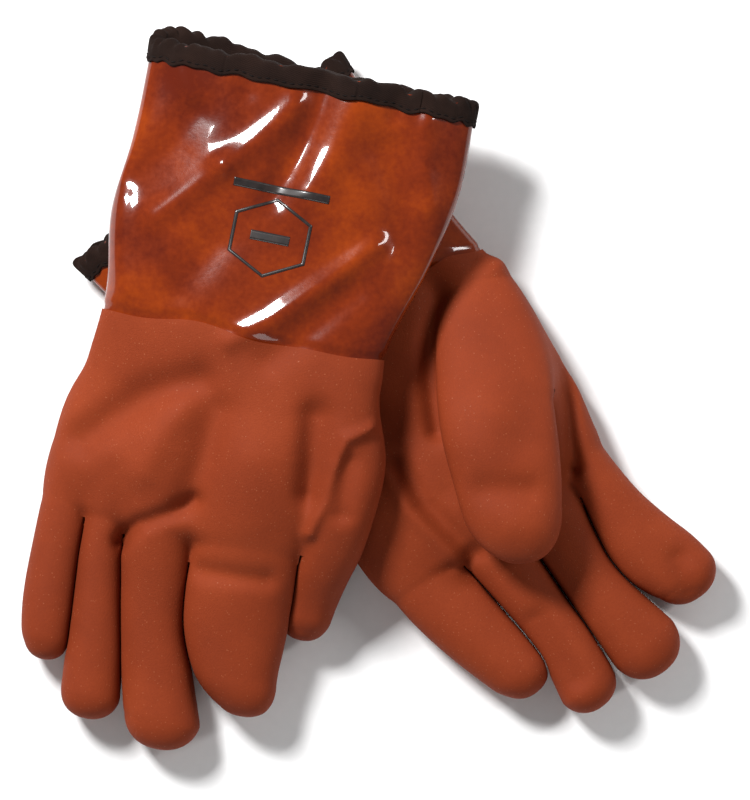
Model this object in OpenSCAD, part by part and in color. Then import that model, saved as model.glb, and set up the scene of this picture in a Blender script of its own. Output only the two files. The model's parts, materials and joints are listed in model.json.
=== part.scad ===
// A pair of coated gauntlet gloves, laid one across the other on a table.
// The left glove lies palm up with its thumb folded over the palm. The right one lies on its wrist, back up.

/* [Gauntlet] */
// Length from the mouth to the wrist line
gauntlet_length = 113; // [92:1:140]
// Width of the left mouth as it lies
left_mouth_width = 153; // [130:1:185]
// Width of the right mouth as it lies
right_mouth_width = 145; // [125:1:175]
// Width across the wrist
wrist_width = 125; // [105:1:150]
// Height of the left mouth as it lies
left_mouth_height = 20; // [16:1:26]
// Height of the right mouth as it lies
right_mouth_height = 28; // [20:1:36]
// Height of the wrist as it lies
wrist_height = 30; // [24:1:38]

/* [Hand] */
// Length from the wrist line to the first finger crotch
palm_length = 95; // [80:1:115]
// Width across the knuckles
palm_width = 116; // [98:1:140]
// Height of the palm as it lies
palm_height = 34; // [28:1:42]
// Height of a finger as it lies
finger_height = 28; // [24:1:34]
// How far the little finger reaches beyond the palm
little_length = 69; // [56:1:84]
// How far the ring finger reaches beyond the palm
ring_length = 91; // [75:1:110]
// How far the middle finger reaches beyond the palm
middle_length = 97; // [80:1:117]
// How far the index finger reaches beyond the palm
index_length = 78; // [64:1:95]
// Length of the thumb, from the edge of the palm
thumb_length = 92; // [76:1:110]
// Width of the thumb
thumb_width = 46; // [38:1:50]

/* [Walls] */
// Thickness of the smooth plastic coat on the gauntlet
sleeve_coat = 1.5; // [1:0.1:2.5]
// Thickness of the rough plastic coat on the hand
hand_coat = 1.8; // [1.2:0.1:2.8]
// Thickness of the knitted lining
liner_wall = 2; // [1:0.1:3]
// Room between a coat and its lining
liner_gap = 0.3; // [0.2:0.05:0.6]

/* [Binding] */
// How far the binding tape covers the edge of the mouth
tape_width = 11; // [8:0.5:16]
// Thickness of the folded tape
tape_wall = 0.8; // [0.5:0.1:1.4]
// Room between the tape and the edge it covers
tape_gap = 0.25; // [0.15:0.05:0.5]
// Distance from one stitch to the next
stitch_pitch = 5; // [3.5:0.1:8]
// Length of a stitch
stitch_length = 3.2; // [2:0.1:5]
// Thickness of the thread
thread = 0.7; // [0.4:0.1:1.2]

/* [Lie of the gloves] */
// Direction of the left glove, from its mouth to its fingers
left_turn = -51.5; // [-60:0.5:-42]
// Direction of the right glove
right_turn = -101.5; // [-110:0.5:-92]
// Room left open at a joint
joint_gap = 0.5; // [0.4:0.05:1.2]
// Least room between two pieces that lie on each other
lie_gap = 0.6; // [0.4:0.05:2]
// Room between two neighbouring fingers
finger_gap = 1.3; // [0.8:0.1:3]

/* [Hidden] */

// Gloves and fingers by number
LEFT = 0;
RIGHT = 1;
LITTLE = 0;
RING = 1;
MIDDLE = 2;
INDEX = 3;

// Colours
sleeve_brown = [0.56, 0.22, 0.09];
hand_brown = [0.50, 0.24, 0.15];
lining_cream = [0.85, 0.80, 0.70];
tape_brown = [0.25, 0.18, 0.17];
thread_brown = [0.14, 0.10, 0.10];

// Points round a slice, and the power that squares an oval's sides a little
facets = 16;
oval_power = 0.86;
// Share of a slice's half height that is left below its middle where it rests flat
rest_share = 0.9;
// How far the left palm's top has come down where the right glove crosses it; a wide palm less
crossing_sink = 9.55 - palm_width / 16;
far = 400;

// Depths under the outside of a coat: its inside, the lining's outside and the lining's inside
sleeve_depths = [0, sleeve_coat, sleeve_coat + liner_gap, sleeve_coat + liner_gap + liner_wall];
hand_depths = [0, hand_coat, hand_coat + liner_gap, hand_coat + liner_gap + liner_wall];
binding_wall = tape_wall + tape_gap;
stitch_rise = 0.1;

// The left wrist's place, and the right wrist's place beside it, at half a palm and on top of it
left_wrist = [4.54, 20.85];
right_wrist = left_wrist + [-palm_width / 2, 10.5];

// Heights of the middle of each glove. The left lies on the table, the right on the left.
finger_reach = [little_length, ring_length, middle_length, index_length];
half_wrist = wrist_height / 2;
half_palm = palm_height / 2;
left_palm_top = (1 + rest_share) * half_palm;
half_finger = finger_height / 2;
mouth_width = [left_mouth_width, right_mouth_width];
half_mouth = [left_mouth_height / 2, right_mouth_height / 2];
left_rest = rest_share * (left_mouth_height / 2) + binding_wall + stitch_rise + thread;
crossing_top = max(wrist_height, left_palm_top - crossing_sink);
right_mouth_rise = crossing_top + lie_gap + binding_wall + rest_share * right_mouth_height / 2;
right_wrist_rise = crossing_top + lie_gap + half_wrist;
right_thumb_rise = crossing_top + lie_gap + half_finger;

// Along each glove, from the mouth to the knuckles:
// [share of the way, sideways drift of the middle, height of the middle, half width, half height, roll]
sleeve_rows = [
    [
        [-1, -6.7, left_rest, mouth_width[LEFT] / 2, half_mouth[LEFT], 0],
        [-0.55, -5, (left_rest + rest_share * half_wrist) / 2, (mouth_width[LEFT] + wrist_width) / 4, 12.5, 0],
        [-0.2, -1, rest_share * half_wrist, wrist_width / 2 + 2, half_wrist - 1, 0],
        [0, 1.5, rest_share * half_wrist, wrist_width / 2, half_wrist, 0],
    ],
    [
        [-1, 8, right_mouth_rise, mouth_width[RIGHT] / 2, half_mouth[RIGHT], 0],
        [-0.6, 8, right_mouth_rise, mouth_width[RIGHT] / 2, half_mouth[RIGHT], 0],
        [-0.33, 3.5, right_mouth_rise, mouth_width[RIGHT] / 2 - 3, half_mouth[RIGHT], 2],
        [0, 0, right_wrist_rise, wrist_width / 2, half_wrist, 5],
    ],
];
palm_rows = [
    [
        [0, 1.5, rest_share * half_wrist, wrist_width / 2, half_wrist, 0],
        [0.35, 0, rest_share * half_palm, wrist_width / 2, half_palm, 0],
        [0.7, -4, rest_share * half_palm, palm_width / 2 + 1, half_palm, 0],
        [0.92, -6.5, rest_share * half_palm, palm_width / 2, half_palm - 1, 0],
        [1.02, -6.5, rest_share * half_palm, palm_width / 2 - 3, half_finger - 3, 0],
    ],
    [
        [0, 0, right_wrist_rise, wrist_width / 2, half_wrist, 5],
        [0.3, -4, right_wrist_rise - 5, wrist_width / 2 - 1, half_wrist + 1, 9],
        [0.63, -10, right_wrist_rise - 13, palm_width / 2 + 1, half_wrist + 1, 12],
        [0.93, -14.5, right_wrist_rise - 20, palm_width / 2, half_wrist, 10],
        [1.02, -14.5, right_wrist_rise - 21, palm_width / 2 - 3, half_finger - 4, 10],
    ],
];

// The lines between the fingers: where each starts across the knuckles, and its turn from the glove's length
fan_share = [[0, 0.304, 0.552, 0.82, 1], [0, 0.182, 0.325, 0.595, 1]];
fan_turn = [[3.5, -1.5, -4.6, -2.5, 9], [2.5, 1.8, 8.5, 9, -1]];
knuckle_drift = [-6.5, -14.5];
// Height of a finger's middle at its root and at its tip
root_rise = [
    [for (k = [LITTLE:INDEX]) rest_share * half_finger + [0.7, 0.5, 0.9, 0.6][k]],
    [for (k = [LITTLE:INDEX]) right_wrist_rise - 21 + [-9.5, -6.5, -1.5, 6][k]],
];
tip_rise = [
    [for (k = [LITTLE:INDEX]) rest_share * half_finger + [0.2, 1.1, 0.3, 1.2][k]],
    [for (k = [LITTLE:INDEX]) rest_share * half_finger + [0.3, 1, 2, 5][k]],
];
// How far beyond the palm each finger bends
hinge_reach = [[4, 22, 22, 13], [3, 7, 13, 13]];

// One thumb lies over its own palm, the other beside its index finger. Each row of a thumb is
// [distance along, sideways drift, height of the middle, half width, half height].
thumb_base = [[38, palm_width / 2 - 25], [38, palm_width / 2 - 4]];
thumb_turn = [-33, -3];
left_thumb_rise = left_palm_top + lie_gap + rest_share * half_finger;
thumb_hinge = [12, palm_length - thumb_base[RIGHT].x];
thumb_rows = [
    [
        [-14, -6, half_palm, thumb_width / 2 - 4, half_finger - 2],
        [0, 0, left_thumb_rise - 8, thumb_width / 2, half_finger],
        [9, 0, left_thumb_rise + 0.4, thumb_width / 2, half_finger],
        [thumb_length - 10 - thumb_width / 2, 0, left_thumb_rise, thumb_width / 2 - 1, half_finger - 0.3],
    ],
    [
        [-18, -6, right_thumb_rise, 15, half_finger - 2],
        [8, 4, right_thumb_rise, 16, half_finger],
        [36, 7, right_thumb_rise - 3, 14, half_finger],
        [thumb_hinge[RIGHT], 6.7, right_thumb_rise - 13, 13.2, half_finger],
        [thumb_length - 10, 6, half_finger + 1, 12.5, half_finger - 1],
    ],
];

function mix(a, b, u) = a + (b - a) * u;
function squared(v) = sign(v) * pow(abs(v), oval_power);

// Outline of a slice: an oval with slightly square sides, cut flat below where the glove rests
function oval(w, h, a) = [w * squared(cos(a)), max(h * squared(sin(a)), -rest_share * h)];

// Sideways place of the line between two fingers, at a distance along the glove
function fan_line(side, k, x) =
    knuckle_drift[side] + palm_width * (fan_share[side][k] - 0.5) + (x - palm_length) * tan(fan_turn[side][k]);

// A slice is [x, y, z, half width, half height, roll]. Its ring is the points round its oval.
function ring(s) =
    [for (i = [0:facets - 1])
        let (p = oval(s[3], s[4], (i + 0.5) * 360 / facets))
        [s[0], s[1] + p.x * cos(s[5]) - p.y * sin(s[5]), s[2] + p.x * sin(s[5]) + p.y * cos(s[5])]];

// A closed form carried through a row of slices
module sweep(slices) {
    ends = [[for (i = [0:facets - 1]) i], [for (i = [0:facets - 1]) 2 * facets - 1 - i]];
    for (i = [0:len(slices) - 2]) hull() polyhedron(concat(ring(slices[i]), ring(slices[i + 1])), ends);
}

// Slices of a sleeve or palm, taken in by a depth, with the last one drawn back by another
function body_slices(rows, length, depth, back) =
    [for (i = [0:len(rows) - 1])
        let (r = rows[i])
        [r[0] * length - (i == len(rows) - 1 ? back : 0), r[1], r[2], r[3] - depth, r[4] - depth, r[5]]];

// The rounded end of a finger or thumb: slices over a quarter circle of the last slice's width
function tip_slices(s, turn, depth) =
    [for (a = [25, 48, 68, 84])
        [s[0] + (s[3] - depth) * sin(a) * cos(turn), s[1] + (s[3] - depth) * sin(a) * sin(turn), s[2],
         (s[3] - depth) * cos(a), (s[4] - depth) * cos(a), s[5]]];

// A finger fills the room between its two fan lines, less the room between neighbours
function finger_slice(side, k, x, z) =
    let (low = fan_line(side, k, x), high = fan_line(side, k + 1, x))
    [x, (low + high) / 2, z, (high - low - finger_gap) / 2, half_finger, 0];

function finger_slices(side, k, depth) =
    let (root = palm_length - 12 + depth,
         tip = palm_length + finger_reach[k],
         end = tip - finger_slice(side, k, tip, 0)[3],
         z0 = root_rise[side][k],
         z1 = tip_rise[side][k],
         turn = (fan_turn[side][k] + fan_turn[side][k + 1]) / 2,
         straight = [for (u = [0, 0.5, 1]) finger_slice(side, k, mix(root, end, u), mix(z0, z1, u))])
    concat([for (s = straight) s - [0, 0, 0, depth, depth, 0]], tip_slices(straight[2], turn, depth));

// A thumb is made along its own axis and then turned into place
function thumb_slices(side, depth) =
    let (rows = thumb_rows[side],
         straight = [for (r = rows) [r[0], r[1], r[2], r[3], r[4], 0]],
         inset = [for (i = [0:len(rows) - 1]) straight[i] + [i == 0 ? depth : 0, 0, 0, -depth, -depth, 0]])
    concat(inset, tip_slices(straight[len(rows) - 1], 0, depth));

module thumb_frame(side) {
    translate([thumb_base[side].x, thumb_base[side].y, 0]) rotate(thumb_turn[side]) children();
}

// Space of one finger beyond its bend, moved along by a shift
module finger_space(side, k, shift) {
    start = palm_length + hinge_reach[side][k] + shift;
    linear_extrude(far, center = true)
        polygon([
            [start, fan_line(side, k, start)],
            [far, fan_line(side, k, far)],
            [far, fan_line(side, k + 1, far)],
            [start, fan_line(side, k + 1, start)],
        ]);
}

// Space of the thumb beyond its bend. The left thumb's starts above its palm.
module thumb_space(side, shift) {
    floor_z = side == LEFT ? left_palm_top + lie_gap / 2 : -far / 2;
    room = side == LEFT ? thumb_width : thumb_width - 8;
    translate([thumb_hinge[side] + shift, side == LEFT ? -room / 2 - 2 : -8, floor_z])
        cube([far, room + 4, far]);
}

// The whole hand as one closed form: palm, fingers and thumb. A cavity also runs out past the wrist.
module hand_form(side, depth, past_wrist) {
    rows = body_slices(palm_rows[side], palm_length, depth, depth);
    sweep(concat(past_wrist > 0 ? [rows[0] - [past_wrist, 0, 0, 0, 0, 0]] : [], rows));
    for (k = [LITTLE:INDEX]) sweep(finger_slices(side, k, depth));
    thumb_frame(side) sweep(thumb_slices(side, depth));
}

module palm_piece(side, outside, inside) {
    difference() {
        hand_form(side, outside, 0);
        hand_form(side, inside, 1);
        for (k = [LITTLE:INDEX]) finger_space(side, k, -joint_gap / 2);
        thumb_frame(side) thumb_space(side, -joint_gap / 2);
    }
}

module finger_piece(side, k, outside, inside) {
    difference() {
        intersection() {
            sweep(finger_slices(side, k, outside));
            finger_space(side, k, joint_gap / 2);
        }
        sweep(finger_slices(side, k, inside));
    }
}

module thumb_piece(side, outside, inside) {
    thumb_frame(side) difference() {
        intersection() {
            sweep(thumb_slices(side, outside));
            thumb_space(side, joint_gap / 2);
        }
        sweep(thumb_slices(side, inside));
    }
}

// Slices of a sleeve between its mouth and the wrist, run past either end
function sleeve_slices(side, depth, past_mouth, past_wrist) =
    let (rows = body_slices(sleeve_rows[side], gauntlet_length, depth, 0),
         first = rows[0],
         last = rows[len(rows) - 1])
    concat(past_mouth > 0 ? [first - [past_mouth, 0, 0, 0, 0, 0]] : [],
           [for (i = [0:len(rows) - 2]) rows[i]],
           [last + [past_wrist, 0, 0, 0, 0, 0]]);

module sleeve_piece(side, outside, inside) {
    difference() {
        sweep(sleeve_slices(side, outside, 0, -joint_gap));
        sweep(sleeve_slices(side, inside, 1, 1));
    }
}

// Slices of the mouth alone, from a given distance before it to a given distance inside it
function mouth_slices(side, depth, before, within) =
    let (rows = body_slices(sleeve_rows[side], gauntlet_length, depth, 0),
         share = within / (rows[1][0] - rows[0][0]))
    [rows[0] - [before, 0, 0, 0, 0, 0], rows[0], mix(rows[0], rows[1], share)];

// Tape folded over the edge of the mouth: one wall outside the coat, one inside the lining
module binding(side) {
    inner = sleeve_depths[3] + tape_gap;
    difference() {
        sweep(mouth_slices(side, -binding_wall, binding_wall, tape_width));
        difference() {
            sweep(mouth_slices(side, -tape_gap, tape_gap, tape_width + 1));
            sweep(mouth_slices(side, inner, tape_gap, tape_width + 1));
        }
        sweep(mouth_slices(side, inner + tape_wall, binding_wall + 1, tape_width + 1));
    }
}

// Stitches run round the tape near its edge at an even pitch, flat on each face of its outline
module stitches(side) {
    line = mouth_slices(side, -binding_wall, 0, tape_width - thread * 3)[2];
    for (i = [0:facets - 1]) {
        p = oval(line[3], line[4], (i - 0.5) * 360 / facets);
        q = oval(line[3], line[4], (i + 0.5) * 360 / facets);
        count = max(1, floor(norm(q - p) / stitch_pitch));
        lean = atan2(q.y - p.y, q.x - p.x);
        for (j = [0:count - 1]) {
            c = mix(p, q, (j + 0.5) / count);
            translate([line[0], line[1] + c.x, line[2] + c.y])
                rotate([lean, 0, 0])
                    translate([0, 0, -thread / 2 - stitch_rise])
                        cube([thread, min(stitch_length, norm(q - p) / count - 0.5), thread], center = true);
        }
    }
}

module place(side) {
    wrist = side == LEFT ? left_wrist : right_wrist;
    translate([wrist.x, wrist.y, 0]) rotate(side == LEFT ? left_turn : right_turn) children();
}

module gauntlet_shell(side) color(sleeve_brown) place(side) sleeve_piece(side, sleeve_depths[0], sleeve_depths[1]);
module sleeve_liner(side) color(lining_cream) place(side) sleeve_piece(side, sleeve_depths[2], sleeve_depths[3]);
module palm_shell(side) color(hand_brown) place(side) palm_piece(side, hand_depths[0], hand_depths[1]);
module palm_liner(side) color(lining_cream) place(side) palm_piece(side, hand_depths[2], hand_depths[3]);
module thumb_stall(side) color(hand_brown) place(side) thumb_piece(side, hand_depths[0], hand_depths[1]);
module thumb_liner(side) color(lining_cream) place(side) thumb_piece(side, hand_depths[2], hand_depths[3]);
module finger_stall(side, k) color(hand_brown) place(side) finger_piece(side, k, hand_depths[0], hand_depths[1]);
module finger_liner(side, k) color(lining_cream) place(side) finger_piece(side, k, hand_depths[2], hand_depths[3]);
module cuff_binding(side) color(tape_brown) place(side) binding(side);
module cuff_stitches(side) color(thread_brown) place(side) stitches(side);

gauntlet_shell(LEFT);  // left_gauntlet_shell
palm_shell(LEFT);  // left_palm_shell
thumb_stall(LEFT);  // left_thumb_stall
finger_stall(LEFT, INDEX);  // left_index_stall
finger_stall(LEFT, MIDDLE);  // left_middle_stall
finger_stall(LEFT, RING);  // left_ring_stall
finger_stall(LEFT, LITTLE);  // left_little_stall
sleeve_liner(LEFT);  // left_sleeve_liner
palm_liner(LEFT);  // left_palm_liner
thumb_liner(LEFT);  // left_thumb_liner
finger_liner(LEFT, INDEX);  // left_index_liner
finger_liner(LEFT, MIDDLE);  // left_middle_liner
finger_liner(LEFT, RING);  // left_ring_liner
finger_liner(LEFT, LITTLE);  // left_little_liner
cuff_binding(LEFT);  // left_cuff_binding
cuff_stitches(LEFT);  // left_cuff_stitches
gauntlet_shell(RIGHT);  // right_gauntlet_shell
palm_shell(RIGHT);  // right_palm_shell
thumb_stall(RIGHT);  // right_thumb_stall
finger_stall(RIGHT, INDEX);  // right_index_stall
finger_stall(RIGHT, MIDDLE);  // right_middle_stall
finger_stall(RIGHT, RING);  // right_ring_stall
finger_stall(RIGHT, LITTLE);  // right_little_stall
sleeve_liner(RIGHT);  // right_sleeve_liner
palm_liner(RIGHT);  // right_palm_liner
thumb_liner(RIGHT);  // right_thumb_liner
finger_liner(RIGHT, INDEX);  // right_index_liner
finger_liner(RIGHT, MIDDLE);  // right_middle_liner
finger_liner(RIGHT, RING);  // right_ring_liner
finger_liner(RIGHT, LITTLE);  // right_little_liner
cuff_binding(RIGHT);  // right_cuff_binding
cuff_stitches(RIGHT);  // right_cuff_stitches
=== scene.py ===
import json
import math

import bpy
import numpy as np
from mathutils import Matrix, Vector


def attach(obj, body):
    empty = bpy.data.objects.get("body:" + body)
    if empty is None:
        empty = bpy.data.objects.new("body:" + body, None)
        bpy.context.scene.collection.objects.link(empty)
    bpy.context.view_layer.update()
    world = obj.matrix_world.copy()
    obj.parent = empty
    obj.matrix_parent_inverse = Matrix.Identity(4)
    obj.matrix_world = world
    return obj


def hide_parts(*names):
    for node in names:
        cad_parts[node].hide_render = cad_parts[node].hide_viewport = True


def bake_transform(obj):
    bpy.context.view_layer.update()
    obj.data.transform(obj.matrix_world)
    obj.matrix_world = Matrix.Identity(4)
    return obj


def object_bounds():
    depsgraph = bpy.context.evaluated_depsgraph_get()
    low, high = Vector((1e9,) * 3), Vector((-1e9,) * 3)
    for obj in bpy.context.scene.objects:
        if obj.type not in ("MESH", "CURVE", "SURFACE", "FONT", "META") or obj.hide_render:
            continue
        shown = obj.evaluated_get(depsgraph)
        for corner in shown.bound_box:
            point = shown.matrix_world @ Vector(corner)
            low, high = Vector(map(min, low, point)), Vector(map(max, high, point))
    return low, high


# A pair of coated gauntlet gloves, laid one across the other: the left one palm up underneath, the right one back
# up on its wrist. Lengths are in millimetres in each glove's own directions, and become metres as a mesh is made.
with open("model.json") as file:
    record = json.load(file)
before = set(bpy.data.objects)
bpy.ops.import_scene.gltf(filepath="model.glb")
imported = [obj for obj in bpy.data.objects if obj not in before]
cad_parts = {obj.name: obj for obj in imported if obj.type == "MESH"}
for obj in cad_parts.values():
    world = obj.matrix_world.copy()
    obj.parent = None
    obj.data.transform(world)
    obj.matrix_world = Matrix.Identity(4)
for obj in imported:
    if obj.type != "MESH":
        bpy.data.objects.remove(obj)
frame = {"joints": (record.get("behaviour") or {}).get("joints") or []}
cad_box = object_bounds()

# ---- The table and the light -------------------------------------------------------------------------------------
# A pale matt table top seen from straight above, a large soft box high on the left as the main light, a narrower
# one on the right that draws the bright line down the sleeve's edge, and weak light from all round.
view_centre = (0.0034, -0.0021)
camera_height = 1.4
seen_height = 0.352
mid_height = 0.03

camera = bpy.data.objects.new("camera", bpy.data.cameras.new("camera"))
camera.location = (*view_centre, camera_height)
camera.data.sensor_fit = "VERTICAL"
camera.data.sensor_height = 36
camera.data.lens = 36 * (camera_height - mid_height) / seen_height
camera.data.clip_end = 20
bpy.context.scene.collection.objects.link(camera)
bpy.context.scene.camera = camera


def soft_box(name, place, aim, size, watts):
    """A rectangular lamp at a place, turned so that it shines at the aim."""
    lamp = bpy.data.lights.new(name, "AREA")
    lamp.shape, lamp.size, lamp.size_y, lamp.energy = "RECTANGLE", size[0], size[1], watts
    holder = bpy.data.objects.new(name, lamp)
    bpy.context.scene.collection.objects.link(holder)
    away = np.array(place) - np.array(aim)
    flat = math.hypot(away[0], away[1])
    holder.location = place
    holder.rotation_euler = (math.atan2(flat, away[2]), 0, math.atan2(away[0], -away[1]))


soft_box("main_light", (-0.66, 0.78, 1.05), (0, 0, 0.02), (0.32, 0.32), 34)
soft_box("edge_light", (1.2, 0.45, 0.8), (0.02, 0.03, 0.03), (0.16, 0.7), 7.5)
soft_box("foot_light", (-0.3, -1.5, 0.7), (0, 0, 0.02), (1.2, 0.4), 5)

world = bpy.data.worlds.new("studio")
world.use_nodes = True
world.node_tree.nodes["Background"].inputs["Color"].default_value = (1, 1, 1, 1)
world.node_tree.nodes["Background"].inputs["Strength"].default_value = 0.18
bpy.context.scene.world = world
bpy.context.scene.view_settings.view_transform = "Standard"


class Value:
    """A number in a material's node tree. Sums on it add Math nodes."""

    def __init__(self, finish, socket):
        self.finish, self.socket = finish, socket

    def sum(self, operation, first, second):
        return self.finish.node("Math", {0: first, 1: second}, operation=operation)

    def __add__(self, other):
        return self.sum("ADD", self, other)

    def __sub__(self, other):
        return self.sum("SUBTRACT", self, other)

    def __rsub__(self, other):
        return self.sum("SUBTRACT", other, self)

    def __mul__(self, other):
        return self.sum("MULTIPLY", self, other)

    def __gt__(self, other):
        return self.sum("GREATER_THAN", self, other)

    __radd__, __rmul__ = __add__, __mul__


class Finish:
    """A material. Constants are set on the shader's own sockets, and node() adds a node with its settings first."""

    def __init__(self, name, **constants):
        self.material = bpy.data.materials.new(name)
        self.material.use_nodes = True
        self.tree = self.material.node_tree
        self.shader = self.tree.nodes["Principled BSDF"]
        for socket, value in constants.items():
            self.shader.inputs[socket.replace("_", " ")].default_value = value

    def fill(self, node, inputs):
        for key, value in inputs.items():
            if isinstance(value, Value):
                self.tree.links.new(value.socket, node.inputs[key])
            else:
                node.inputs[key].default_value = value

    def node(self, kind, inputs=None, out=0, stops=None, **settings):
        node = self.tree.nodes.new("ShaderNode" + kind)
        for key, value in settings.items():
            setattr(node, key, value)
        if stops:
            while len(node.color_ramp.elements) < len(stops):
                node.color_ramp.elements.new(1)
            for element, (place, shade) in zip(node.color_ramp.elements, stops):
                element.position, element.color = place, (*shade, 1) if len(shade) == 3 else shade
        self.fill(node, inputs or {})
        return Value(self, node.outputs[out])

    def feed(self, **inputs):
        self.fill(self.shader, {socket.replace("_", " "): value for socket, value in inputs.items()})
        return self.material


table = Finish("pale_table", Roughness=0.9, Specular_IOR_Level=0.1)
table_places = table.node("TexCoord", out=3)
table_grain = table.node("TexNoise", {"Vector": table_places, "Scale": 220.0, "Detail": 4.0})
table.feed(Base_Color=table.node("ValToRGB", {"Fac": table_grain},
                                 stops=[(0, (0.88, 0.88, 0.88)), (1, (0.94, 0.94, 0.94))]))
bpy.ops.mesh.primitive_plane_add(size=6, location=(0, 0, 0))
floor = bpy.context.object
floor.name = "table_top"
floor.data.transform(floor.matrix_world)
floor.matrix_world.identity()
table_corners = np.array([[-3, -3, 0], [3, -3, 0], [-3, 3, 0], [3, 3, 0]]) + [0, 0, cad_box[0][2] - 0.0002]
floor.data.vertices.foreach_set("co", table_corners.ravel())
floor.data.materials.append(table.material)

# ---- The form of each glove ---------------------------------------------------------------------------------------
# Both gloves are dipped on hand-shaped moulds and have gone soft: a flat sleeve and palm, four fingers and a thumb,
# each a tube carried along its own line. x runs from the wrist line to the finger tips, y towards the thumb, z up.
wrist = {"left": (4.54, 20.85), "right": (-53.46, 31.35)}
turn = {"left": math.radians(-51.5), "right": math.radians(-101.5)}
finger_names = ("little", "ring", "middle", "index")


def laid(side, p):
    """Points of a glove's own space, in mm, turned and carried to their place on the table, in metres."""
    c, s = math.cos(turn[side]), math.sin(turn[side])
    x = wrist[side][0] + p[..., 0] * c - p[..., 1] * s
    y = wrist[side][1] + p[..., 0] * s + p[..., 1] * c
    return np.stack([x, y, p[..., 2]], -1) / 1000


def lifted(side, p):
    """The other way round: points on the table, in metres, brought into a glove's own space, in mm."""
    c, s = math.cos(turn[side]), math.sin(turn[side])
    x, y = p[..., 0] * 1000 - wrist[side][0], p[..., 1] * 1000 - wrist[side][1]
    return np.stack([x * c + y * s, y * c - x * s, p[..., 2] * 1000], -1)


hinge_at = {joint["name"]: joint["pos_m"] for joint in frame["joints"] if "pos_m" in joint}
hinge_x = {side: [lifted(side, np.array(hinge_at[f"{side}_{name}_bend"]))[0] for name in finger_names]
           for side in wrist}


def carried(x, rows):
    """Rows of [x, values...] carried on smoothly: between two rows, the cubic that leaves each with the mean slope
    of its neighbours. The end rows are held beyond the ends."""
    rows = np.asarray(rows, float)
    knots, values = rows[:, 0], rows[:, 1:]
    slopes = np.gradient(values, knots, axis=0)
    i = np.clip(np.searchsorted(knots, x) - 1, 0, len(knots) - 2)
    span = knots[i + 1] - knots[i]
    t = np.clip((x - knots[i]) / span, 0, 1)[..., None]
    span = span[..., None]
    return ((1 + 2 * t) * (1 - t) ** 2 * values[i] + t * (1 - t) ** 2 * span * slopes[i]
            + t * t * (3 - 2 * t) * values[i + 1] + t * t * (t - 1) * span * slopes[i + 1])


def eased(x, low, high):
    """0 below low, 1 above high, and t t (3 - 2 t) between."""
    t = np.clip((x - low) / (high - low), 0, 1)
    return t * t * (3 - 2 * t)


def joined(a, b, reach):
    """The lower of two distances, rounded off where they differ by less than the reach."""
    h = np.maximum(reach - np.abs(a - b), 0) / reach
    return np.minimum(a, b) - h * h * reach / 4


def cut(a, b, reach):
    """The higher of two distances, rounded off in the same way."""
    return -joined(-a, -b, reach)


def tube(p, rows, power, last, tip, root=1e9):
    """Distance from a tube whose section at x is |y/w|^n + |z/h|^n = 1 round its line, leaning by a slope. Past x =
    last it is drawn to a round tip by adding |(x - last)/tip|^n, and so it is before its first row, over the root.
    The value is (r - 1) over its own slope."""
    x = p[..., 0]
    mid_y, mid_z, half_w, half_h, lean = np.moveaxis(carried(x, rows), -1, 0)
    y = np.abs(p[..., 1] - mid_y) / half_w
    z = np.abs(p[..., 2] - mid_z - lean * (p[..., 1] - mid_y)) / half_h
    e = np.maximum(x - last, 0) / tip + np.maximum(rows[0][0] - x, 0) / root
    r = np.maximum(y ** power + z ** power + e ** power, 1e-6) ** (1 / power)
    slope = r ** (1 - power) * np.sqrt((y ** (power - 1) / half_w) ** 2 + (z ** (power - 1) / half_h) ** 2
                                       + (e ** (power - 1) / np.where(x > last, tip, root)) ** 2)
    return (r - 1) / np.maximum(slope, 0.02)


def creased(x, y, folds):
    """Depth of the soft folds at (x, y): each is depth times exp(-(distance from its line / width)^2)."""
    depth = np.zeros(np.shape(x))
    for line, deep, wide in folds:
        nearest = np.full(np.shape(x), 1e9)
        for (x0, y0), (x1, y1) in zip(line[:-1], line[1:]):
            dx, dy = x1 - x0, y1 - y0
            t = np.clip(((x - x0) * dx + (y - y0) * dy) / (dx * dx + dy * dy), 0, 1)
            nearest = np.minimum(nearest, (x - x0 - t * dx) ** 2 + (y - y0 - t * dy) ** 2)
        depth = depth + deep * np.exp(-nearest / wide ** 2)
    return depth


# rows of [x, middle y, middle z, half width, half height, lean]
body_power = 2.35
body_rows = {
    "left": [[-122, -6.7, 10.9, 76.5, 10, 0], [-62, -5, 12.3, 69.5, 12.3, 0], [-23, -1, 13.5, 64.5, 14, 0],
             [0, 1.5, 13.8, 62.7, 15, 0], [33, -0.5, 15.3, 62.3, 16.8, 0], [66, -2.5, 15.3, 61, 16.5, 0],
             [87, -6.3, 15.2, 58, 15.5, 0], [97, -6.5, 15, 56, 13.5, 0]],
    "right": [[-122, 8, 44.3, 72, 14, 0], [-68, 8, 44.3, 72, 14, 0], [-38, 3.5, 44.3, 70.3, 14, 0.02],
              [0, 0.5, 45.2, 62.7, 14.8, 0.07], [28, -2, 41, 63, 15.5, 0.15], [60, -9, 33, 60, 15.8, 0.2],
              [88, -14.3, 26, 58, 14.5, 0.17], [98, -14.5, 24.6, 56, 12.5, 0.17]],
}
finger_power = 2.2
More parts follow.
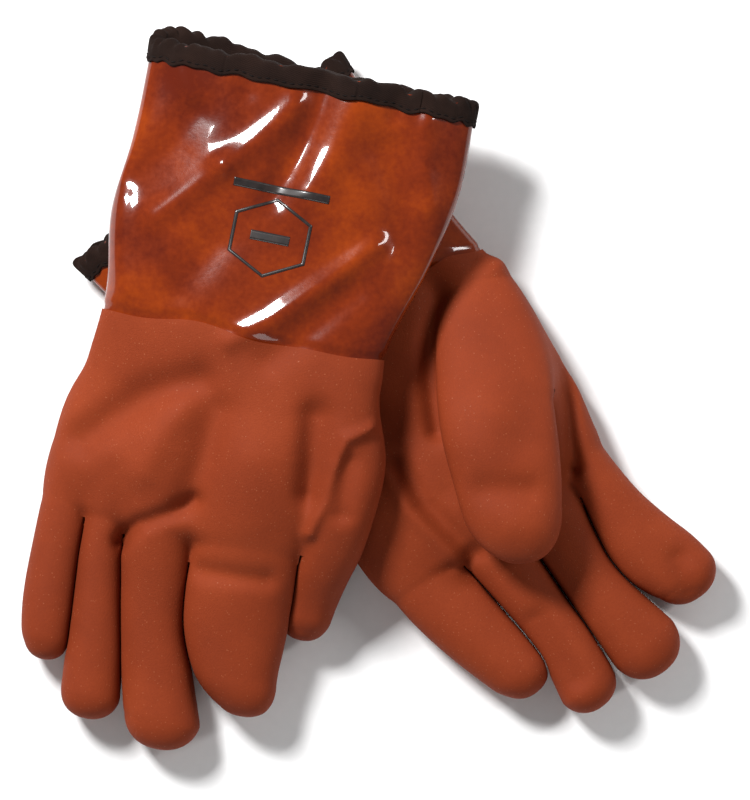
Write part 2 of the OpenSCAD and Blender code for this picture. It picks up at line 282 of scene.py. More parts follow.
finger_rows = {
    "left": [[[62, -44, 15, 15, 13, 0], [80, -46.5, 13.8, 17, 13.6, 0], [98, -46.7, 13.3, 17.6, 13.8, 0],
              [126, -44.5, 13, 16.2, 13.6, 0], [144, -41.8, 12.9, 14.6, 13.3, 0], [158, -39.6, 12.8, 13, 13, 0]],
             [[66, -15, 16, 13, 13, 0], [88, -15.5, 14, 14.8, 13.8, 0], [112, -15.3, 13.3, 14.2, 13.8, 0],
              [140, -15.7, 13, 12.7, 13.8, 0], [154, -16.5, 13.2, 12.8, 13.8, 0], [176, -20.2, 13.5, 13.8, 13.7, 0]],
             [[66, 16, 16, 14, 13, 0], [90, 15.5, 14.3, 15.5, 13.8, 0], [107, 14.5, 13.4, 15.7, 13.8, 0],
              [122, 12, 13, 14, 13.8, 0], [139, 9.8, 13, 13.1, 13.8, 0], [154, 9.8, 13, 14, 13.8, 0],
              [176, 11, 13, 16.4, 13.6, 0]],
             [[60, 38, 16, 12, 13, 0], [84, 40, 14.5, 11.5, 13.8, 0], [107, 39.7, 13.4, 11.3, 13.8, 0],
              [122, 38.4, 13.4, 13.2, 13.8, 0], [139, 38.5, 13.6, 16.2, 13.8, 0], [152, 40.6, 13.8, 17.3, 13.6, 0],
              [166, 44.2, 13.8, 15.5, 13.4, 0]]],
    "right": [[[66, -59, 22, 10, 12, 0.1], [90, -62, 16.8, 11.5, 13, 0.05], [110, -62.4, 14.6, 11.8, 13.4, 0],
               [148, -60.8, 13.6, 11.6, 13, 0], [158, -59.5, 13, 10.8, 12.6, 0]],
              [[68, -42, 25, 9, 13, 0.1], [92, -43.5, 19.5, 10, 13.8, 0.1], [110, -43, 17, 10.6, 13.8, 0],
               [129, -41, 15.3, 11.4, 13.8, 0], [150, -38.2, 14.2, 12.7, 13.8, 0], [176, -35.6, 13.3, 13.4, 13.6, 0]],
              [[60, -22, 33, 14, 13, 0.1], [90, -20.3, 27, 16, 14.5, 0.1], [104, -19.3, 23.3, 16.3, 14.8, 0],
               [120, -17.3, 19.8, 15.4, 14.4, 0], [138, -14.8, 17.2, 14.8, 14, 0], [157, -9.3, 15.4, 16.4, 13.9, 0],
               [180, -2, 14.4, 17.4, 13.8, 0]],
              [[55, 21, 40, 18, 12, 0.15], [84, 20, 33.3, 23, 14.5, 0.12], [104, 20.5, 28, 24.2, 15, 0.06],
               [119, 20.8, 24, 24.2, 14.8, 0], [138, 22.2, 20.5, 22.6, 14.4, 0], [152, 25, 18.6, 19.6, 14.2, 0],
               [168, 31.5, 17.2, 15.5, 13.8, 0]]],
}
finger_last = {"left": [150, 173, 175, 161], "right": [151, 173, 176, 155]}
finger_tip = {"left": [14, 14, 17, 15], "right": [13, 13, 17, 16]}

# The thumb's rows run along its own line, from its base, in its own direction
thumb_base = {"left": (38, 33), "right": (38, 54)}
thumb_turn = {"left": math.radians(-33), "right": math.radians(-3)}
thumb_rows = {
    "left": [[-40, -4.5, 18.5, 12.5, 8, 0], [-20, -1.5, 25.5, 20, 11, 0], [0, 0, 35, 24, 12.5, 0],
             [12, 0.2, 41.5, 25, 13.2, 0], [28, 0.8, 45.3, 25.2, 13.4, 0], [50, 2.4, 45, 23.4, 13.2, 0],
             [64, 3.2, 44.6, 21.6, 13, 0], [84, 6, 44, 19, 12.5, 0]],
    "right": [[-20, -7, 45, 14, 11, 0], [8, 2.8, 43.8, 16, 13, 0], [36, 5.5, 39.8, 14.4, 13.2, 0],
              [52, 5.2, 32.6, 13.4, 13.2, 0], [64, 3.4, 26, 12.7, 13, 0], [77, 2, 17.8, 12, 12.8, 0],
              [90, 1.4, 12.9, 11.5, 12.5, 0]],
}
thumb_last = {"left": 62, "right": 83}
thumb_tip = {"left": 24, "right": 12}
thumb_hinge = {}
for side in wrist:
    at = lifted(side, np.array(hinge_at[f"{side}_thumb_bend"]))[:2] - thumb_base[side]
    thumb_hinge[side] = at[0] * math.cos(thumb_turn[side]) + at[1] * math.sin(thumb_turn[side])

hand_folds = {
    "left": [([(60, 59), (67, 53), (81, 44), (95, 36)], 4.5, 4),
             ([(45, -31), (65, -34), (83, -32), (97, -31)], -2.2, 4),
             ([(44, -23), (66, -26), (86, -24), (98, -22)], 2.6, 4.5), ([(138, -19), (168, -23)], 2.6, 6),
             ([(156, 46), (169, 41)], 2.6, 6), ([(4, -30), (40, -14), (66, -16)], 2, 9),
             ([(-108, 20), (-60, 30), (-10, 34)], 2.5, 8), ([(-30, 48), (0, 50)], -1.5, 8),
             ([(-2, 35), (12, 20), (26, 9), (45, -2)], 5, 5)],
    "right": [([(64, -60), (50, -46), (39, -35), (28, -14)], 4.6, 8), ([(40, -20), (56, -26), (72, -30)], -2.6, 8),
              ([(40, -4), (62, -6), (82, -10)], 3.6, 8), ([(80, -6), (88, -16), (95, -28), (105, -35)], 3.4, 4),
              ([(110, 4), (108, 31)], 2.6, 5), ([(34, 64), (41, 54), (55, 51), (69, 50), (84, 47)], -4, 3.6),
              ([(34, 40), (50, 42), (66, 44)], 7, 7), ([(60, 14), (84, 18)], -2, 12),
              ([(-42, -64), (-18, -60), (-4, -54)], -1.6, 6), ([(-44, 50), (-24, 32), (-3, 12), (9, -4)], -2.4, 5),
              ([(-22, 44), (0, 26), (14, 14)], 2.6, 7), ([(-30, -20), (-8, -30)], 1.8, 9)],
}
thumb_folds = {
    "left": [([(14, 16), (30, 12)], 3, 11), ([(52, -8), (54, 10)], 2.2, 6.5), ([(70, 4), (72, 10)], -1.4, 9)],
    "right": [([(12, 2), (34, 6)], 3, 5)],
}
resting = 0.35
between = 0.5


def along_thumb(side, p):
    """Points given along and across the thumb's own line."""
    c, s = math.cos(thumb_turn[side]), math.sin(thumb_turn[side])
    x, y = p[..., 0] - thumb_base[side][0], p[..., 1] - thumb_base[side][1]
    return np.stack([x * c + y * s, y * c - x * s, p[..., 2]], -1)


def glove(side, p):
    """Distances from the whole glove's skin, from the glove without its thumb, from the thumb, and from each
    finger: body and fingers joined over a reach that shrinks towards the crotches, less the folds on the top side,
    then joined to the thumb and pressed flat where they rest."""
    x, y, z = p[..., 0], p[..., 1], p[..., 2]
    body = tube(p, body_rows[side], body_power, body_rows[side][-1][0] - 8, 9)
    fingers = [tube(p, rows, finger_power, last, tip, 24)
               for rows, last, tip in zip(finger_rows[side], finger_last[side], finger_tip[side])]
    without = body
    for finger, hinge in zip(fingers, hinge_x[side]):
        without = joined(without, finger, 1.2 + 15 * (1 - eased(x, 62, hinge + 6)))
    mid = carried(x, body_rows[side])
    middle = mid[..., 1] + mid[..., 4] * (y - mid[..., 0])
    without = without + creased(x, y, hand_folds[side]) * eased(z, middle - 3, middle + 7)
    q = along_thumb(side, p)
    thumb = tube(q, thumb_rows[side], finger_power, thumb_last[side], thumb_tip[side], 16)
    lift = carried(q[..., 0], thumb_rows[side])[..., 1]
    thumb = thumb + creased(q[..., 0], q[..., 1], thumb_folds[side]) * eased(z, lift - 2, lift + 6)
    thumb = thumb + 16 * (1 - eased(x, -16, 6))
    hinge = thumb_hinge[side]
    if side == "left":
        reach = (1 - eased(q[..., 0], hinge - 2, hinge + 18)) * (2 + 14 * eased(q[..., 1], -6, 18))
    else:
        reach = 7 * (1 - eased(q[..., 0], hinge - 14, hinge + 14))
    whole = joined(without, thumb, 1.0 + reach)
    under = resting - z
    if side == "right":
        under = np.maximum(under, 1.0 - glove("left", lifted("left", laid("right", p)))[0])
    return [cut(d, under, 2.5) for d in (whole, without, thumb)] + [fingers]


# ---- The sleeves --------------------------------------------------------------------------------------------------
# Each sleeve is knitted cloth dipped in smooth brown plastic that shines like wet glass. It lies flat and soft, pulled
# in at the stitched mouth, so it has long shallow folds. The rough coat of the hand laps over its lower end.
mouth_top = -113.0
bend_from, bend_to = (laid("right", np.array([x, 0.0, 45.0])) for x in (-32, -2))
sleeve_folds = {
    "left": [([(-108, -34), (-70, -30), (-30, -20)], 2.2, 9), ([(-108, -5), (-80, 2)], -1.4, 8)],
    "right": [([(-113, 15), (-96, 12), (-83, 10), (-67, 6), (-56, 1)], 3.4, 6.5),
              ([(-96, 4), (-86, -3), (-77, -10), (-65, -21)], -2.4, 6),
              ([(-64, -22), (-51, -34), (-38, -47)], -2.2, 6), ([(-84, -38), (-70, -44), (-52, -58)], 2, 9),
              ([(-100, 30), (-80, 26), (-60, 18)], -1.8, 7),
              ([(-84, 46), (-66, 56), (-48, 58)], 2.4, 9), ([(-101, 62), (-80, 64), (-66, 70)], -1.6, 5),
              ([(-104, -50), (-92, -42)], -1.4, 5), ([(-110, -20), (-98, -18)], 1.2, 5),
              ([(-111, 48), (-100, 46)], 1.3, 4), ([(-111, 62), (-98, 60)], -0.9, 4)],
}


def dip_line(side, y):
    """x of the edge of the rough coat: nearly straight, wavering by a millimetre or two, and on the left glove set
    back towards the thumb."""
    if side == "right":
        return 5.5 + 1.3 * np.sin(y / 13) + 0.8 * np.sin(y / 7.1 + 1)
    return -12.5 + 7.5 * eased(y, 46, 66) + 0.9 * np.sin(y / 15 + 2) + 0.5 * np.sin(y / 6.3)


def mouth_x(side, round_):
    """x of the mouth's rim, by angle round the sleeve: the under side reaches further out on the little finger's
    side."""
    y, low = np.cos(round_), np.clip(-np.sin(round_) * 2 + 0.2, 0, 1)
    reach = (2 + 5.5 * eased(-y, -0.2, 0.7)) if side == "right" else 1.5 + 0 * y
    return mouth_top + 1.2 - reach * low - 0.5 * np.sin(round_ * 17) - 0.5 * np.sin(round_ * 29 + 1)


def sleeve_point(side, x, round_, out):
    """A point of the sleeve at x and angle, moved out from its skin: on the section |y/w|^n + |z/h|^n = 1, less the
    folds over its top side."""
    mid_y, mid_z, half_w, half_h, lean = np.moveaxis(carried(x, body_rows[side]), -1, 0)
    c, s = np.cos(round_), np.sin(round_)
    y = mid_y + (half_w + out) * np.sign(c) * np.abs(c) ** (2 / body_power)
    side_z = np.sign(s) * np.abs(s) ** (2 / body_power)
    fold = creased(x, y, sleeve_folds[side]) + creased(x, y, hand_folds[side])
    fold = fold + 0.5 * np.sin(x / 11 + y / 17) * np.sin(y / 13 - x / 19) * (1 - eased(x, -36, -14))
    pinch = 1.6 * np.sin(round_ * 9 + x / 15) * (1 - eased(x, -116, -70)) * np.abs(c)
    z = mid_z + lean * (y - mid_y) + (half_h + out) * side_z
    z = z - fold * eased(side_z, -0.1, 0.6) + 0.5 * pinch * eased(-side_z, -0.2, 0.5)
    return np.stack([x + 0 * y, y, np.maximum(z, resting + 0 * z)], -1)


def add_mesh(name, points, quads, finish, uv=None, normals=None):
    """A mesh from an array of points, in metres, and one of faces, smooth all over. Loops take their vertex's uv."""
    mesh = bpy.data.meshes.new(name)
    mesh.from_pydata([], [], [])
    faces = np.asarray(quads)
    mesh.vertices.add(len(points))
    mesh.vertices.foreach_set("co", np.asarray(points, float).ravel())
    mesh.loops.add(faces.size)
    mesh.loops.foreach_set("vertex_index", faces.ravel())
    mesh.polygons.add(len(faces))
    mesh.polygons.foreach_set("loop_start", np.arange(0, faces.size, faces.shape[1]))
    mesh.polygons.foreach_set("loop_total", np.full(len(faces), faces.shape[1]))
    mesh.polygons.foreach_set("use_smooth", np.ones(len(faces), bool))
    mesh.update(calc_edges=True)
    if uv is not None:
        mesh.uv_layers.new(name="surface").data.foreach_set("uv", np.asarray(uv, float)[faces.ravel()].ravel())
    if normals is not None:
        mesh.normals_split_custom_set_from_vertices(normals)
    mesh.validate()
    mesh.materials.append(finish)
    piece = bpy.data.objects.new(name, mesh)
    bpy.context.scene.collection.objects.link(piece)
    return piece


def grid_faces(rows, columns, first=0, inward=False):
    """Faces of a grid that closes on itself after its last column, wound so that they face outwards."""
    r, c = np.meshgrid(np.arange(rows - 1), np.arange(columns), indexing="ij")
    a, b = first + r * columns + c, first + r * columns + (c + 1) % columns
    faces = np.stack([a, b, b + columns, a + columns], -1).reshape(-1, 4)
    return faces[:, ::-1] if inward else faces


def double_wall(outer, inner, far_open=True):
    """Points and faces of a tube with two skins, joined round its near end, and at its far end either joined too or
    each drawn to a point. Both grids are [rows along, columns round]. A round that climbs from +y over the top to -y
    faces outwards as it stands."""
    rows, columns = outer.shape[:2]
    points = np.concatenate([outer.reshape(-1, 3), inner.reshape(-1, 3)])
    n = rows * columns
    near, after = np.arange(columns), (np.arange(columns) + 1) % columns
    faces = [grid_faces(rows, columns, 0, True), grid_faces(rows, columns, n, False),
             np.stack([near, after, after + n, near + n], -1)]
    if far_open:
        last, next_ = near + n - columns, after + n - columns
        faces.append(np.stack([last, last + n, next_ + n, next_], -1))
    else:
        for skin, first, flip in ((outer, n - columns, True), (inner, 2 * n - columns, False)):
            pole = len(points)
            points = np.concatenate([points, skin[-1].mean(0)[None]])
            fan = np.stack([near + first, after + first, np.full(columns, pole), np.full(columns, pole)], -1)
            faces.append(fan[:, ::-1] if flip else fan)
    return points, faces


def carry_sleeve(piece, side):
    """A piece of a sleeve goes with its hand on the left; on the right it stays where it lies, its transform baked in.
    """
    if side == "left":
        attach(piece, "left_hand")
    else:
        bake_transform(piece)


def whole_faces(faces):
    """Faces of three or four corners in one array of triangles."""
    quads = np.concatenate(faces)
    thin = quads[:, 2] == quads[:, 3]
    thin_first = quads[:, 0] == quads[:, 1]
    solid = ~(thin | thin_first)
    return np.concatenate([quads[solid][:, [0, 1, 2]], quads[solid][:, [0, 2, 3]],
                           quads[thin][:, [0, 1, 2]], quads[thin_first][:, [1, 2, 3]]])


shine = Finish("smooth_plastic", IOR=1.45, Specular_IOR_Level=0.1, Coat_Weight=0.7, Coat_Roughness=0.05, Coat_IOR=1.5)
shine_places = shine.node("TexCoord", out=3)
# The broad noise varies the plastic's tone at random. Its range is stretched so that its orange pale patches are
# painted glow of light shining through the plastic and its dark patches are painted shade of the folds, both placed at
# random.
cloudy_tone_and_painted_light = shine.node("TexNoise", {"Vector": shine_places, "Scale": 26.0, "Detail": 3.0, "Roughness": 0.55})
mottled = shine.node("TexNoise", {"Vector": shine_places, "Scale": 420.0, "Detail": 2.0})
knit_through = shine.node("TexNoise", {"Vector": shine_places, "Scale": 900.0, "Detail": 1.0})
shine_shade = shine.node("ValToRGB", {"Fac": cloudy_tone_and_painted_light * 0.8 + mottled * 0.2},
                         stops=[(0.34, (0.095, 0.0095, 0.0022)), (0.5, (0.165, 0.0190, 0.0024)),
                                (0.66, (0.250, 0.034, 0.0020))])
shine_bump = shine.node("Bump", {"Height": mottled * 0.6 + knit_through * 0.4, "Strength": 0.10, "Distance": 0.0004})
smooth_plastic = shine.feed(Base_Color=shine_shade, Roughness=0.16 + 0.12 * mottled, Normal=shine_bump)

sleeve_rows, sleeve_columns = ((112, 300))
round_grid = np.linspace(0, 2 * math.pi, sleeve_columns, endpoint=False)[None]
for side in wrist:
    share = np.linspace(0, 1, sleeve_rows)[:, None]
    near_x = mouth_x(side, round_grid)
    far_x = dip_line(side, 64 * np.cos(round_grid)) + 7
    x = near_x + (far_x - near_x) * share
    lap = -0.1 - 0.75 * eased(x, far_x - 11, far_x - 8)
    outer, inner = sleeve_point(side, x, round_grid + 0 * x, lap), sleeve_point(side, x, round_grid + 0 * x, lap - 1.3)
    points, faces = double_wall(outer, inner)
    sleeve = add_mesh(f"{side}_sleeve", laid(side, points), np.concatenate(faces), smooth_plastic)
    carry_sleeve(sleeve, side)
    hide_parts(f"{side}_gauntlet_shell")

# ---- The hands ----------------------------------------------------------------------------------------------------
# Palm, fingers and thumb are dipped once more in a plastic with fine grit in it, which is matt and sandy and catches
# small sparks of light, with pale spots painted at its grit as painted glints. Each is one skin drawn round the glove's
# form, and the skins meet at the fingers' hinges.
lattice = 1.5


def drawn_round(values, low, step):
    """Faces and points of the surface where values are 0 on a lattice: one point in each cell that it crosses, at
    the mean of the crossings of the cell's edges, and one face round each crossed edge."""
    shape = np.array(values.shape)
    weights, sums, faces = 0, 0, []
    cells = int(np.prod(shape))
    for axis in range(3):
        lower, upper = np.moveaxis(values, axis, 0)[:-1], np.moveaxis(values, axis, 0)[1:]
        at = np.argwhere((lower < 0) != (upper < 0))
        a, b = lower[tuple(at.T)], upper[tuple(at.T)]
        order = np.argsort([axis] + [k for k in range(3) if k != axis])
        at = at[:, order]
        point = at.astype(float)
        point[:, axis] += a / (a - b)
        second, third = (axis + 1) % 3, (axis + 2) % 3
        ring = []
        for back in ((1, 1), (0, 1), (0, 0), (1, 0)):
            cell = at.copy()
            cell[:, second] -= back[0]
            cell[:, third] -= back[1]
            number = np.ravel_multi_index(np.clip(cell, 0, shape - 1).T, shape)
            ring.append(number)
            weights = weights + np.bincount(number, minlength=cells)
            sums = sums + np.stack([np.bincount(number, point[:, k], cells) for k in range(3)], -1)
        ring = np.stack(ring, -1)
        faces.append(np.where((a < 0)[:, None], ring, ring[:, ::-1]))
    faces = np.concatenate(faces)
    used, numbers = np.unique(faces, return_inverse=True)
    points = sums[used] / weights[used][:, None] * step + low
    return points, numbers.reshape(-1, 4)


def slope_of(distance, p, by=0.25):
    """Slope of a distance at points, from its values a little to each side."""
    steps = by * np.eye(3)
    return np.stack([distance(p + steps[k]) - distance(p - steps[k]) for k in range(3)], -1) / (2 * by)


def moved_back(distance, p, slope, least=0.3):
    """How far each point moves down a slope to come to the distance's 0, where the slope is not too small."""
    return distance(p)[:, None] * slope / np.maximum((slope ** 2).sum(-1, keepdims=True), least)


def skin(side, part):
    """Distance whose 0 is the skin of one part: a finger or the thumb keeps what is nearer to it than to its
    neighbours, and the palm keeps the rest."""
    def distance(p):
        whole, without, thumb, fingers = glove(side, p)
        if part == "thumb":
            return cut(whole, (thumb - without + between) / 2, 0.8)
        if part == "palm":
            result = whole
            for k, finger in enumerate(fingers):
                others = np.minimum.reduce([f for j, f in enumerate(fingers) if j != k])
                apart = (others - finger + between) / 2
                result = np.where(p[..., 0] > hinge_x[side][k] + 3, cut(result, apart, 0.8), result)
            along = along_thumb(side, p)[..., 0]
            return np.where(along > thumb_hinge[side] + 4, cut(result, (without - thumb + between) / 2, 0.8), result)
        k = finger_names.index(part)
        result = cut(without, (fingers[k] - thumb + between) / 2, 0.8)
        for j in (k - 1, k + 1):
            if 0 <= j < 4:
                result = cut(result, (fingers[k] - fingers[j] + between) / 2, 0.8)
        return result
    return distance


def keep_faces(side, part, middle, step):
    """Which faces belong to a part, by where their middles are: past its hinge for a finger or thumb, with a hidden
    tail inside the palm, and the rest for the palm, up to the edge of the rough coat."""
    whole, without, thumb, fingers = glove(side, middle)
    nearest = np.argmin(fingers, axis=0)
    past_finger = middle[:, 0] - np.array(hinge_x[side])[nearest]
    past_thumb = along_thumb(side, middle)[:, 0] - thumb_hinge[side]
    on_thumb = (thumb < without) & (past_thumb > 0)
    buried = whole < -0.35 * step
    if part == "thumb":
        return (past_thumb > 0) & (thumb < without + 1.5) | buried & (past_thumb > -5) & (past_thumb <= 0)
    if part == "palm":
        on_finger = (past_finger > 0) & (np.min(fingers, axis=0) < 3) & (middle[:, 0] > 80)
        return ~on_finger & ~on_thumb & (middle[:, 0] > dip_line(side, middle[:, 1]) - 0.2 * step)
    k = finger_names.index(part)
    past = middle[:, 0] - hinge_x[side][k]
    return (past > 0) | buried & (past > -5)


sandy = Finish("rough_plastic", IOR=1.46, Specular_IOR_Level=0.14)
sandy_places = sandy.node("TexCoord", out=3)
broad = sandy.node("TexNoise", {"Vector": sandy_places, "Scale": 22.0, "Detail": 4.0, "Roughness": 0.6})
grains = sandy.node("TexVoronoi", {"Vector": sandy_places, "Scale": 1500.0, "Randomness": 1.0})
dust = sandy.node("TexNoise", {"Vector": sandy_places, "Scale": 1100.0, "Detail": 3.0, "Roughness": 0.7})
sparks = sandy.node("TexVoronoi", {"Vector": sandy_places, "Scale": 2600.0}, out=1)
spark = sandy.node("SeparateColor", {0: sparks}, out=0) > 0.993
sandy_shade = sandy.node("ValToRGB", {"Fac": broad * 0.7 + dust * 0.3},
                         stops=[(0.25, (0.165, 0.0245, 0.0070)), (0.5, (0.212, 0.032, 0.0085)),
                                (0.75, (0.265, 0.043, 0.0115))])
# The grit cells are also mixed towards a pale orange in the base colour: a painted glint, on top of their lower
# roughness.
sandy_with_painted_glints = sandy.node("Mix", {0: spark * 0.4, 6: sandy_shade, 7: (0.40, 0.13, 0.06, 1)}, out=2, data_type="RGBA")
sandy_bump = sandy.node("Bump", {"Height": dust * 0.7 - grains * 0.5, "Strength": 0.55, "Distance": 0.00022})
rough_plastic = sandy.feed(Base_Color=sandy_with_painted_glints, Roughness=0.66 + 0.12 * dust - 0.25 * spark, Normal=sandy_bump)

hand_body = {"left": "left_hand", "right": "right_hand"}
lip_depth = 0.9


for side in wrist:
    low = np.array([-19.0, -80.0, -2.0])
    counts = (np.array([196.0 - low[0], 158.0, 66.0]) / lattice).astype(int) + 2
    axes = [low[k] + lattice * np.arange(counts[k]) for k in range(3)]
    p = np.stack(np.meshgrid(*axes, indexing="ij"), -1)
    for part in ("palm", "thumb") + finger_names:
        span = slice(None)
        if part in finger_names:
            span = slice(int((hinge_x[side][finger_names.index(part)] - 12 - low[0]) / lattice), None)
        distance = skin(side, part)
        values = distance(p[span])
        for k in range(3):
            rim = np.moveaxis(values, k, 0)
            rim[0], rim[-1] = np.maximum(rim[0], 0.5), np.maximum(rim[-1], 0.5)
        points, faces = drawn_round(values, p[span][0, 0, 0], lattice)
        kept = keep_faces(side, part, points[faces].mean(1), lattice)
        rough = points
        for _ in range(4):
            slope = slope_of(distance, points)
            step = moved_back(distance, points, slope)
            points = rough + np.clip(points - step - rough, -0.45 * lattice, 0.45 * lattice)
        faces = faces[kept]
        used, numbers = np.unique(faces, return_inverse=True)
        points, faces = points[used], numbers.reshape(-1, 4)
        if part == "palm":
            # the rough coat's edge: the outermost points go onto the dip line, and a thin lip turns in under it
            edges = np.concatenate([faces[:, [k, (k + 1) % 4]] for k in range(4)])
            key = np.sort(edges, 1) @ [len(points), 1]
            once = np.isin(key, [k for k, n in zip(*np.unique(key, return_counts=True)) if n == 1])
            rim_edges = edges[once]
            rim_edges = rim_edges[(points[rim_edges, 0] < dip_line(side, points[rim_edges, 1]) + 2.5 * lattice).all(1)]
            rim_points = np.unique(rim_edges)
            points[rim_points, 0] = dip_line(side, points[rim_points, 1])
            for _ in range(3):
                slope = slope_of(distance, points[rim_points])
                slope[:, 0] = 0
                points[rim_points] -= moved_back(distance, points[rim_points], slope)
            inwards = -slope / np.maximum(np.linalg.norm(slope, axis=-1, keepdims=True), 0.3)
            lip = points[rim_points] + lip_depth * inwards
            below = np.zeros(len(points), int)
            below[rim_points] = len(points) + np.arange(len(rim_points))
            rim_a, rim_b = rim_edges.T
            faces = np.concatenate([faces, np.stack([rim_b, rim_a, below[rim_a], below[rim_b]], -1)])
            points = np.concatenate([points, lip])
        slope = slope_of(distance, points)
        normals = slope / np.maximum(np.linalg.norm(slope, axis=-1, keepdims=True), 1e-6)
        c, s = math.cos(turn[side]), math.sin(turn[side])
        normals = normals @ np.array([[c, s, 0], [-s, c, 0], [0, 0, 1]])
        name = f"{side}_{part}_skin"
        piece = add_mesh(name, laid(side, points), faces, rough_plastic, normals=normals)
        if part == "palm":
            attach(piece, hand_body[side])
            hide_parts(f"{side}_palm_shell")
        else:
            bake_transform(piece)
            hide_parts(f"{side}_{part}_stall")

# ---- The linings --------------------------------------------------------------------------------------------------
# A knitted lining lies loose inside each sleeve, palm, finger and thumb, 2 mm thick. It shows in the open mouths as
# ribs that run along the arm, with painted shade in the troughs between them.
ribbed = Finish("knitted_lining", Roughness=0.95, Specular_IOR_Level=0.15, Sheen_Weight=0.4, Sheen_Roughness=0.6)
ribbed_uv = ribbed.node("SeparateXYZ", {0: ribbed.node("UVMap", uv_map="surface")})
rib_pitch, loop_pitch = 2.4, 1.8
lining_round_mm, lining_along_mm = (Value(ribbed, ribbed_uv.socket.node.outputs[k]) for k in (0, 1))
ribs = ribbed.node("Math", {0: lining_round_mm * (2 * math.pi / rib_pitch)}, operation="SINE")
loops = ribbed.node("Math", {0: lining_along_mm * (2 * math.pi / loop_pitch)}, operation="SINE")
ribbed_places = ribbed.node("TexCoord", out=3)
fluff = ribbed.node("TexNoise", {"Vector": ribbed_places, "Scale": 1400.0, "Detail": 3.0})
stitch_height = ribs * 0.6 + ribs * loops * 0.3 + fluff * 0.5
# The colour is darker in the troughs between the ribs, where the bump sinks: painted shade in the rib hollows. The
# fluff varies the tone at random.
ribbed_colour_and_painted_shade = ribbed.node("ValToRGB", {"Fac": 0.5 + 0.3 * ribs + 0.3 * (fluff - 0.5)},
                           stops=[(0.1, (0.33, 0.27, 0.21)), (0.6, (0.62, 0.55, 0.45)), (1, (0.70, 0.64, 0.54))])
ribbed_bump = ribbed.node("Bump", {"Height": stitch_height, "Strength": 0.8, "Distance": 0.0006})
knitted = ribbed.feed(Base_Color=ribbed_colour_and_painted_shade, Normal=ribbed_bump)


def kept_inside(distance, p, depth):
    """Points moved in, down the slope of a distance, until each is at least a depth under its 0."""
    flat = p.reshape(-1, 3)
    for _ in range(3):
        slope = slope_of(distance, flat)
        over = np.maximum(distance(flat) + depth, 0)[:, None]
        flat = flat - over * slope / np.maximum((slope ** 2).sum(-1, keepdims=True), 0.3)
    return flat.reshape(p.shape)


def add_lining(side, part, outer, inner, far_open):
    """A double wall of knitted cloth. Its uv is millimetres round and along it."""
    points, faces = double_wall(outer, inner, far_open)
    rows, columns = outer.shape[:2]
    uv = np.stack(np.meshgrid(np.arange(columns) * 300.0 / columns, outer[:, 0, 0]), -1).reshape(-1, 2)
    uv = np.concatenate([uv, uv, np.zeros((len(points) - 2 * len(uv), 2))])
    piece = add_mesh(f"{side}_{part}_lining", laid(side, points), whole_faces(faces), knitted, uv=uv)
    return piece


def tube_point(rows, x, round_, out, last, tip):
    """A point of a finger's or thumb's tube, by x and angle, moved out from it and drawn in over its tip."""
    mid_y, mid_z, half_w, half_h, lean = np.moveaxis(carried(x, rows), -1, 0)
    end = np.sqrt(np.maximum(1 - (np.maximum(x - last, 0) / (tip + out)) ** 2, 0.003))
    c, s = np.cos(round_), np.sin(round_)
    y = mid_y + (half_w + out) * end * np.sign(c) * np.abs(c) ** (2 / finger_power)
    z = mid_z + (half_h + out) * end * np.sign(s) * np.abs(s) ** (2 / finger_power)
    return np.stack([x + 0 * y, y, z], -1)


lining_rows, lining_columns = 60, 160
lining_round = np.linspace(0, 2 * math.pi, lining_columns, endpoint=False)[None]
share = np.linspace(0, 1, lining_rows)[:, None]
for side in wrist:
    near_x = mouth_x(side, lining_round) + 1.5
    x = near_x + (dip_line(side, 64 * np.cos(lining_round)) + 5 - near_x) * share
    outer, inner = sleeve_point(side, x, lining_round + 0 * x, -1.9), sleeve_point(side, x, lining_round + 0 * x, -3.7)
    piece = add_lining(side, "sleeve", outer, inner, True)
    carry_sleeve(piece, side)
    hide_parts(f"{side}_sleeve_liner")

    start_x = dip_line(side, 64 * np.cos(lining_round)) + 8.5
    x = start_x + (94 - start_x) * share
    end = 1 - np.sqrt(np.maximum(1 - (np.maximum(x - 80, 0) / 14.2) ** 2, 0))
    around = lining_round + 0 * x
    distance = skin(side, "palm")
    outer = kept_inside(distance, sleeve_point(side, x, around, -3 - 7 * end), 2.2)
    inner = kept_inside(distance, sleeve_point(side, x, around, -4.6 - 7 * end), 3.8)
    piece = add_lining(side, "palm", outer, inner, False)
    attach(piece, hand_body[side])
    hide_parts(f"{side}_palm_liner")

    for part in ("thumb",) + finger_names:
        k = finger_names.index(part) if part != "thumb" else None
        rows = thumb_rows[side] if part == "thumb" else finger_rows[side][k]
        last = thumb_last[side] if part == "thumb" else finger_last[side][k]
        tip = thumb_tip[side] if part == "thumb" else finger_tip[side][k]
        first = (thumb_hinge[side] if part == "thumb" else hinge_x[side][k]) + 3
        x = first + (last + tip - 3.6 - first) * np.sin(share * math.pi / 2)
        around = np.linspace(0, 2 * math.pi, 64, endpoint=False)[None] + 0 * x
        outer = tube_point(rows, x, around, -2.6, last, tip)
        inner = tube_point(rows, x - 1.4 * share, around, -4.2, last, tip)
        if part == "thumb":
            c, s = math.cos(thumb_turn[side]), math.sin(thumb_turn[side])
            outer, inner = (np.stack([thumb_base[side][0] + q[..., 0] * c - q[..., 1] * s,
                                      thumb_base[side][1] + q[..., 0] * s + q[..., 1] * c, q[..., 2]], -1)
                            for q in (outer, inner))
        distance = skin(side, part)
        outer, inner = kept_inside(distance, outer, 2.1), kept_inside(distance, inner, 3.6)
        piece = add_lining(side, part, outer, inner, False)
        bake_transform(piece)
        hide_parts(f"{side}_{part}_liner")

